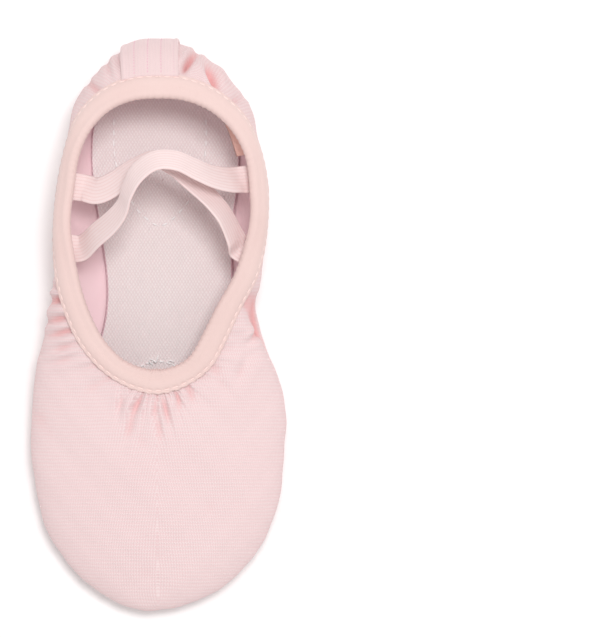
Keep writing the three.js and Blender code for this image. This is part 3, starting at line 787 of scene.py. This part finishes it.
def slab(name, outline, low, high, edge=0.5, lip=0.0, wobble=0.0, groove=None):
    """A sheet with rounded edges that fills an outline, in rings that shrink to its middle line."""
    depth = np.linalg.norm(inset_outline(outline, 1e9, edge) - outline, axis=1)
    thick = high - low
    levels = [(0.0, 0.5), (0.04, 0.2), (0.14, 0.06), (edge, 0.0)]
    inner_edge = edge
    if groove:
        levels += [(groove - 0.5, 0.0), (groove, GROOVE_DEPTH / thick), (groove + 0.5, 0.0)]
        inner_edge = groove + 0.5
    levels += [(inner_edge + (depth.min() * 0.98 - inner_edge) * k / 22, 0.0) for k in range(1, 23)]
    tops, bottoms = [], []
    for inset, dip in levels:
        flat = inset_outline(outline, inset, edge)
        lift = lip * math.exp(-(((inset - edge) / LIP_WIDTH) ** 2))
        tops.append(np.column_stack([flat, np.full(len(flat), high - dip * thick + lift)]))
        bottoms.append(np.column_stack([flat, np.full(len(flat), low + dip * thick)]))
    rings = np.array(tops[::-1] + bottoms[1:])
    if wobble:
        ruffle = wobble * rng.standard_normal(len(outline))
        rings[len(tops) - 3:len(tops) + 2, :, 2] += ruffle * 0.5
    n, m = rings.shape[:2]
    points = rings.reshape(-1, 3)
    faces = []
    for i in range(n - 1):
        for j in range(m):
            k = (j + 1) % m
            faces.append([i * m + j, i * m + k, (i + 1) * m + k, (i + 1) * m + j])
    # The innermost ring of each side is closed by a ladder of quads with a triangle at each end.
    half = m // 2
    for base, turn in ((0, 1), ((n - 1) * m, -1)):
        for j in range(half - 2):
            quad = [base + 1 + j, base + m - 1 - j, base + m - 2 - j, base + 2 + j]
            faces.append(quad[::turn])
        faces.append([base, base + m - 1, base + 1][::turn])
        faces.append([base + half - 1, base + half + 1, base + half][::turn])
    if signed_volume(points, faces) < 0:
        faces = [f[::-1] for f in faces]
    uvs = [points[q, :2].tolist() for f in faces for q in f]
    return make(name, points, faces, uvs)


def inset_sole(by):
    rows = []
    for i, (w, y) in enumerate(SOLE):
        end = i in (0, len(SOLE) - 1)
        rows.append((0 if end else w - by, y - math.copysign(by if end else by / 3, y)))
    return rows


SOLE_PANEL_INSET = 0.1  # from the sole's edge
panel_outline = smooth_outline(inset_sole(SOLE_PANEL_INSET), 300)
panel = slab("sole_cloth", panel_outline, SOLE_PANEL_Z, SOLE_PANEL_Z + SOLE_PANEL)
over_arch(dress(panel, canvas, "canvas", "sole_panel"))
INSOLE_INSET = -0.7  # past the sole's edge, out to the lining, so that no gap shows
insole_outline = smooth_outline(inset_sole(INSOLE_INSET), 420)
insole = slab("insole_cloth", insole_outline, INSOLE_Z, INSOLE_Z + INSOLE, edge=0.6, lip=0.2, wobble=0.3)
dress(insole, waffle, "insole_cloth", "insole_cover")
insole.data.materials.append(waffle_edge_and_shade)
CUT_EDGE_AND_SHADE = 0.8  # mm of the insole's rim in mauve: its cut yarns, with painted shade for the step onto the lining
for face in insole.data.polygons:
    middle = np.array(face.center[:2]) / MM - (0, SHIFT_Y)
    if np.min(np.linalg.norm(insole_outline - middle, axis=1)) < CUT_EDGE_AND_SHADE:
        face.material_index = 1
over_arch(insole)
for half_outline, name, node, body in (
    (HEEL_PAD, "suede_heel_pad", "outsole_heel", "heel"),
    (FOREFOOT_PAD, "suede_forefoot_pad", "outsole_forefoot", "forefoot"),
):
    pad = slab(name, smooth_outline(half_outline), 0.0, SUEDE, edge=0.7, groove=SEAM_INSET)
    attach(dress(pad, suede, "suede", node), body)
for half_outline, name, node, body in (
    (HEEL_CUSHION, "heel_foam", "cushion_heel", "heel"),
    (FOREFOOT_CUSHION, "forefoot_foam", "cushion_forefoot", "forefoot"),
):
    pad = slab(name, smooth_outline(half_outline, 160), CUSHION_Z, CUSHION_Z + CUSHION, edge=0.8)
    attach(dress(pad, foam, "foam", node), body)

# ---- Straps --------------------------------------------------------------------------------


def open_curve(points, u):
    """The smooth open curve through some points, at u from 0 to 1."""
    n = len(points)
    padded = np.vstack([2 * points[0] - points[1], points, 2 * points[-1] - points[-2]])
    place = np.clip(u, 0, 1) * (n - 1)
    i = np.minimum(np.floor(place).astype(int), n - 2)
    w = (place - i)[:, None]
    a, b, c, d = (padded[i + k] for k in range(4))
    start, end = (c - a) / 2, (d - b) / 2
    return b + w * (start + w * (3 * (c - b) - 2 * start - end + w * (2 * (b - c) + start + end)))


def strap_controls(strap):
    """Points along a strap from one sewn end to the other, and the way its width runs at each."""
    points, across = [], []

    def sewn(station, drops):
        t = np.array([station / STATIONS])
        step = unit(shell(t + STEP, 0.8) - shell(t - STEP, 0.8))[0]
        if step[1] > 0:
            step = -step
        for drop, depth in drops:
            points.append(wall(t, np.array([drop]), -SEWN_DEPTH - depth)[0, 0])
            across.append(step)

    sewn(strap["left"], SEWN_POINTS)
    path = np.array(strap["path"], float)
    ahead = unit(np.gradient(path[:, :3], axis=0))
    for p, direction in zip(path, ahead):
        to_toe = unit(np.cross(direction, (0, 0, 1)))
        up = np.cross(to_toe, direction)
        lean = math.radians(p[3])
        points.append(p[:3])
        across.append(to_toe * math.sin(lean) + up * math.cos(lean))
    sewn(STATIONS - strap["right"], SEWN_POINTS[::-1])
    return np.array(points), np.array(across)


def strap_piece(name, strap, *nodes):
    points, across = strap_controls(strap)
    u = np.linspace(0, 1, 230)
    centre = open_curve(points, u)
    ahead = unit(np.gradient(centre, axis=0))
    width = open_curve(across, u)
    width = unit(width - ahead * np.sum(width * ahead, 1, keepdims=True))
    through = np.cross(ahead, width)
    half_width, half_thick = STRAP_WIDTH / 2, STRAP_THICK / 2
    w = np.linspace(-1, 1, CORDS * 8 + 1)
    cord = np.abs(np.sin((w + 1) / 2 * CORDS * math.pi)) ** 0.5
    edge = np.sqrt(np.clip(1 - np.abs(w) ** 14, 0, 1))
    face = half_thick * (0.86 + 0.14 * cord) * np.maximum(edge, 0.35)
    middle = centre[:, None] + width[:, None] * (w * half_width)[None, :, None]
    lift = through[:, None] * face[None, :, None]
    rings = np.concatenate([middle + lift, (middle - lift)[:, ::-1]], 1)
    run = run_along(centre, closed=False)
    face_uvs = np.stack(np.broadcast_arrays(run[:, None], ((w + 1) * half_width)[None, :]), -1)
    obj = loft(name, rings, np.concatenate([face_uvs, face_uvs[:, ::-1], face_uvs[:, :1]], 1), False)
    dress(obj, webbing, "webbing", *nodes)
    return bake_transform(obj)


strap_piece("strap_on_top", STRAP_OVER, "strap_over", "strap_over_end_left", "strap_over_end_right")
strap_piece("strap_below", STRAP_UNDER, "strap_under", "strap_under_end_left", "strap_under_end_right")

# ---- Loose end of the tape -----------------------------------------------------------------

TAIL_LEAN = 6.0  # mm that its free edge stands off the lining
t_tail = (STATIONS - np.linspace(4.2, 3.1, 24)) / STATIONS
tail_drops = np.linspace(SEWN_TOP - 1, SEWN_TOP + 5, 12)
hang = TAIL_LEAN * np.clip((tail_drops - tail_drops[0]) / np.ptp(tail_drops), 0, 1) ** 1.3
rings = patch_rings(t_tail, tail_drops, -SEWN_DEPTH + 0.2 - hang, -SEWN_DEPTH - TAPE - hang)
tail = loft("tape_end", rings, section_uvs(rings, np.linspace(0, 12, len(t_tail))), False)
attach(dress(tail, tape_end_painted_shade, "tape", "binding_tail"), "heel")

# ---- Stitches ------------------------------------------------------------------------------


def stitch_tree():
    """Geometry nodes that lay round-ended stitches along the edges of a mesh."""
    tree = bpy.data.node_groups.new("Stitch row", "GeometryNodeTree")
    face = tree.interface
    face.new_socket("Geometry", in_out="INPUT", socket_type="NodeSocketGeometry")
    for label, value in (("Pitch", 1.6), ("Stitch length", 1.1), ("Thread radius", 0.2)):
        socket = face.new_socket(label, in_out="INPUT", socket_type="NodeSocketFloat")
        socket.default_value = value
    face.new_socket("Thread", in_out="INPUT", socket_type="NodeSocketMaterial")
    face.new_socket("Geometry", in_out="OUTPUT", socket_type="NodeSocketGeometry")

    def node(kind, **settings):
        made = tree.nodes.new(kind)
        for key, value in settings.items():
            setattr(made, key, value)
        return made

    def link(a, out, b, into):
        tree.links.new(a.outputs[out], b.inputs[into])

    start, end = node("NodeGroupInput"), node("NodeGroupOutput")
    curve = node("GeometryNodeMeshToCurve")
    spaced = node("GeometryNodeCurveToPoints", mode="LENGTH")
    ball = node("GeometryNodeMeshUVSphere")
    ball.inputs["Segments"].default_value = 8
    ball.inputs["Rings"].default_value = 6
    ball.inputs["Radius"].default_value = 1.0
    half = node("ShaderNodeMath", operation="MULTIPLY")
    half.inputs[1].default_value = 0.5
    size = node("ShaderNodeCombineXYZ")
    place = node("GeometryNodeInstanceOnPoints")
    turn = node("FunctionNodeAlignRotationToVector", axis="Z")
    real = node("GeometryNodeRealizeInstances")
    smooth = node("GeometryNodeSetShadeSmooth")
    thread = node("GeometryNodeSetMaterial")
    link(start, "Geometry", curve, "Mesh")
    link(curve, "Curve", spaced, "Curve")
    link(start, "Pitch", spaced, "Length")
    link(spaced, "Points", place, "Points")
    link(spaced, "Tangent", turn, "Vector")
    link(turn, "Rotation", place, "Rotation")
    link(start, "Stitch length", half, 0)
    link(start, "Thread radius", size, "X")
    link(start, "Thread radius", size, "Y")
    link(half, 0, size, "Z")
    link(size, "Vector", place, "Scale")
    link(ball, "Mesh", place, "Instance")
    link(place, "Instances", real, "Geometry")
    link(real, "Geometry", smooth, "Geometry")
    link(smooth, "Geometry", thread, "Geometry")
    link(start, "Thread", thread, "Material")
    link(thread, "Geometry", end, "Geometry")
    return tree


STITCHES = stitch_tree()


def stitch_row(name, lines, thread, slot, pitch, length, radius):
    """Stitches along lines of points in mm, as a plain mesh."""
    points, edges = [], []
    for line in lines:
        base = len(points)
        points += [list(p) for p in line]
        edges += [(base + i, base + i + 1) for i in range(len(line) - 1)]
    mesh = bpy.data.meshes.new(name + "_line")
    mesh.from_pydata(((np.array(points) + (0, SHIFT_Y, 0)) * MM).tolist(), edges, [])
    guide = bpy.data.objects.new(name + "_line", mesh)
    bpy.context.scene.collection.objects.link(guide)
    modifier = guide.modifiers.new("Stitches", "NODES")
    modifier.node_group = STITCHES
    values = {"Pitch": pitch * MM, "Stitch length": length * MM, "Thread radius": radius * MM}
    values["Thread"] = thread
    for item in STITCHES.interface.items_tree:
        if item.in_out == "INPUT" and item.name in values:
            modifier[item.identifier] = values[item.name]
    bpy.context.view_layer.update()
    evaluated = guide.evaluated_get(bpy.context.evaluated_depsgraph_get())
    final = bpy.data.meshes.new_from_object(evaluated)
    bpy.data.objects.remove(guide)
    obj = bpy.data.objects.new(name, final)
    bpy.context.scene.collection.objects.link(obj)
    return dress(obj, thread, slot)


def strip_row(share):
    middle, half = (STRIP_FROM + STRIP_TO) / 2, (STRIP_TO - STRIP_FROM) / 2
    t = np.array([(middle + share * half) / STATIONS])
    return wall(t, np.linspace(TAPE_OUT + 0.8, 44, 60), 1.14)[0]


rows = [strip_row(share) for share in STRIP_ROWS]
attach(stitch_row("back_seam_stitches", rows, pink_thread, "canvas", 1.5, 0.95, 0.17), "heel")

t_seam = np.arange(1200) / 1200
seam = wall(t_seam, np.array([STITCH_DROP]), MIDDLE + TAPE_REACH + TAPE - 0.2)[:, 0]
seam = np.vstack([seam, seam[:1]])
over_arch(stitch_row("binding_stitches", [seam], pale_thread, "tape", SCALLOP, 2.1, 0.24))

INSOLE_TOP = INSOLE_Z + INSOLE
STITCH_RISE = 0.27  # of the stitches' middle line above the insole
HEEL_ARC = (
    (-15.9, 71), (-15.9, 62), (-14.6, 54), (-11.4, 46), (-6.6, 39), (0.2, 34.6), (7, 39), (12.6, 47),
    (15.6, 56), (16.6, 64), (16.6, 71),
)
TOE_ARC = ((-12, -19.1), (-8, -16), (-4, -13.9), (-0.9, -13.3), (3.2, -13.8), (7.4, -15.8), (11.5, -19.1))


def insole_line(outline, count):
    """A smooth line just above the insole through some points."""
    raised = np.array([(x, y, INSOLE_TOP + STITCH_RISE) for x, y in outline])
    return open_curve(raised, np.linspace(0, 1, count))


pad_line = insole_line(HEEL_ARC, 120)
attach(stitch_row("heel_pad_stitches", [pad_line], white_thread, "insole_cloth", 3.6, 2.3, 0.36), "heel")
arc_line = insole_line(TOE_ARC, 60)
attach(stitch_row("ball_pad_stitches", [arc_line], white_thread, "insole_cloth", 2.4, 1.9, 0.36), "forefoot")


def loose_thread(points):
    """A limp end of thread through a few points above the insole, in mm."""
    rise = np.array([(x, y, INSOLE_TOP + z) for x, y, z in points], float)
    rings = tube(open_curve(rise, np.linspace(0, 1, 24)), 0.24, 8, closed=False)
    return loft("thread_end", rings, section_uvs(rings, np.linspace(0, 8, 24)), False)


THREAD_ENDS = (
    ((-2.6, -14, 0.2), (-1.9, -12.9, 0.8), (-1.2, -13.6, 1.1), (-0.6, -12.4, 0.9), (-0.2, -11, 0.4)),
    ((-2.2, -14.4, 0.2), (-3.4, -13.5, 0.7), (-2.9, -12.5, 0.9), (-1.6, -13.2, 0.5)),
    ((2.8, -13.8, 0.2), (3.9, -13, 0.6), (5.2, -13.5, 0.5)),
)
for points in THREAD_ENDS:
    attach(dress(loose_thread(points), white_thread, "insole_cloth"), "forefoot")


def pad_seam(half_outline):
    inner = inset_outline(smooth_outline(half_outline), SEAM_INSET, 0.7)
    line = np.column_stack([inner, np.full(len(inner), GROOVE_DEPTH)])
    return np.vstack([line, line[:1]])


for half_outline, name, body in (
    (HEEL_PAD, "heel_pad_seam", "heel"), (FOREFOOT_PAD, "forefoot_pad_seam", "forefoot"),
):
    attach(stitch_row(name, [pad_seam(half_outline)], pale_thread, "suede", 2.8, 2.0, 0.22), body)

# ---- Floor, light and camera ---------------------------------------------------------------

floor_mat = material("white_paper")
finish(floor_mat, srgb("#FCFBFB"), None, 0, 0.9, specular=0.1)
corners = [(-3000, -3000, 0), (3000, -3000, 0), (3000, 3000, 0), (-3000, 3000, 0)]
floor = make("floor", np.array(corners, float) - (0, SHIFT_Y, 0.02), [[0, 1, 2, 3]], smooth=False)
floor.data.materials.append(floor_mat)

world = bpy.data.worlds.new("soft_room")
bpy.context.scene.world = world
world.use_nodes = True
world.node_tree.nodes["Background"].inputs[0].default_value = (1, 0.99, 0.985, 1)
world.node_tree.nodes["Background"].inputs[1].default_value = 0.68


def softbox(name, place, target, size, watts):
    light = bpy.data.lights.new(name, "AREA")
    light.energy, light.size, light.shape, light.size_y = watts, size[0], "RECTANGLE", size[1]
    obj = bpy.data.objects.new(name, light)
    obj.location = place
    direction = np.array(target) - np.array(place)
    obj.rotation_mode = "QUATERNION"
    obj.rotation_quaternion = Vector(direction).to_track_quat("-Z", "Y")
    obj.visible_camera = False
    bpy.context.scene.collection.objects.link(obj)


softbox("key_from_heel", (0.2, 0.3, 1.6), (0, 0, 0), (0.42, 0.36), 13)

camera_data = bpy.data.cameras.new("camera")
camera = bpy.data.objects.new("camera", camera_data)
VIEW_HIGH = 0.222  # metres of the plane at the slipper's middle height that the long side shows
CAMERA_Z, PLANE_Z = 1.3, 0.02
camera.location = (0.0496, 0.0019, CAMERA_Z)
camera.rotation_euler = (0, 0, 0)
camera_data.sensor_width = 36
camera_data.lens = 36 * (CAMERA_Z - PLANE_Z) / VIEW_HIGH
bpy.context.scene.collection.objects.link(camera)
bpy.context.scene.camera = camera
bpy.context.scene.view_settings.view_transform = "Standard"
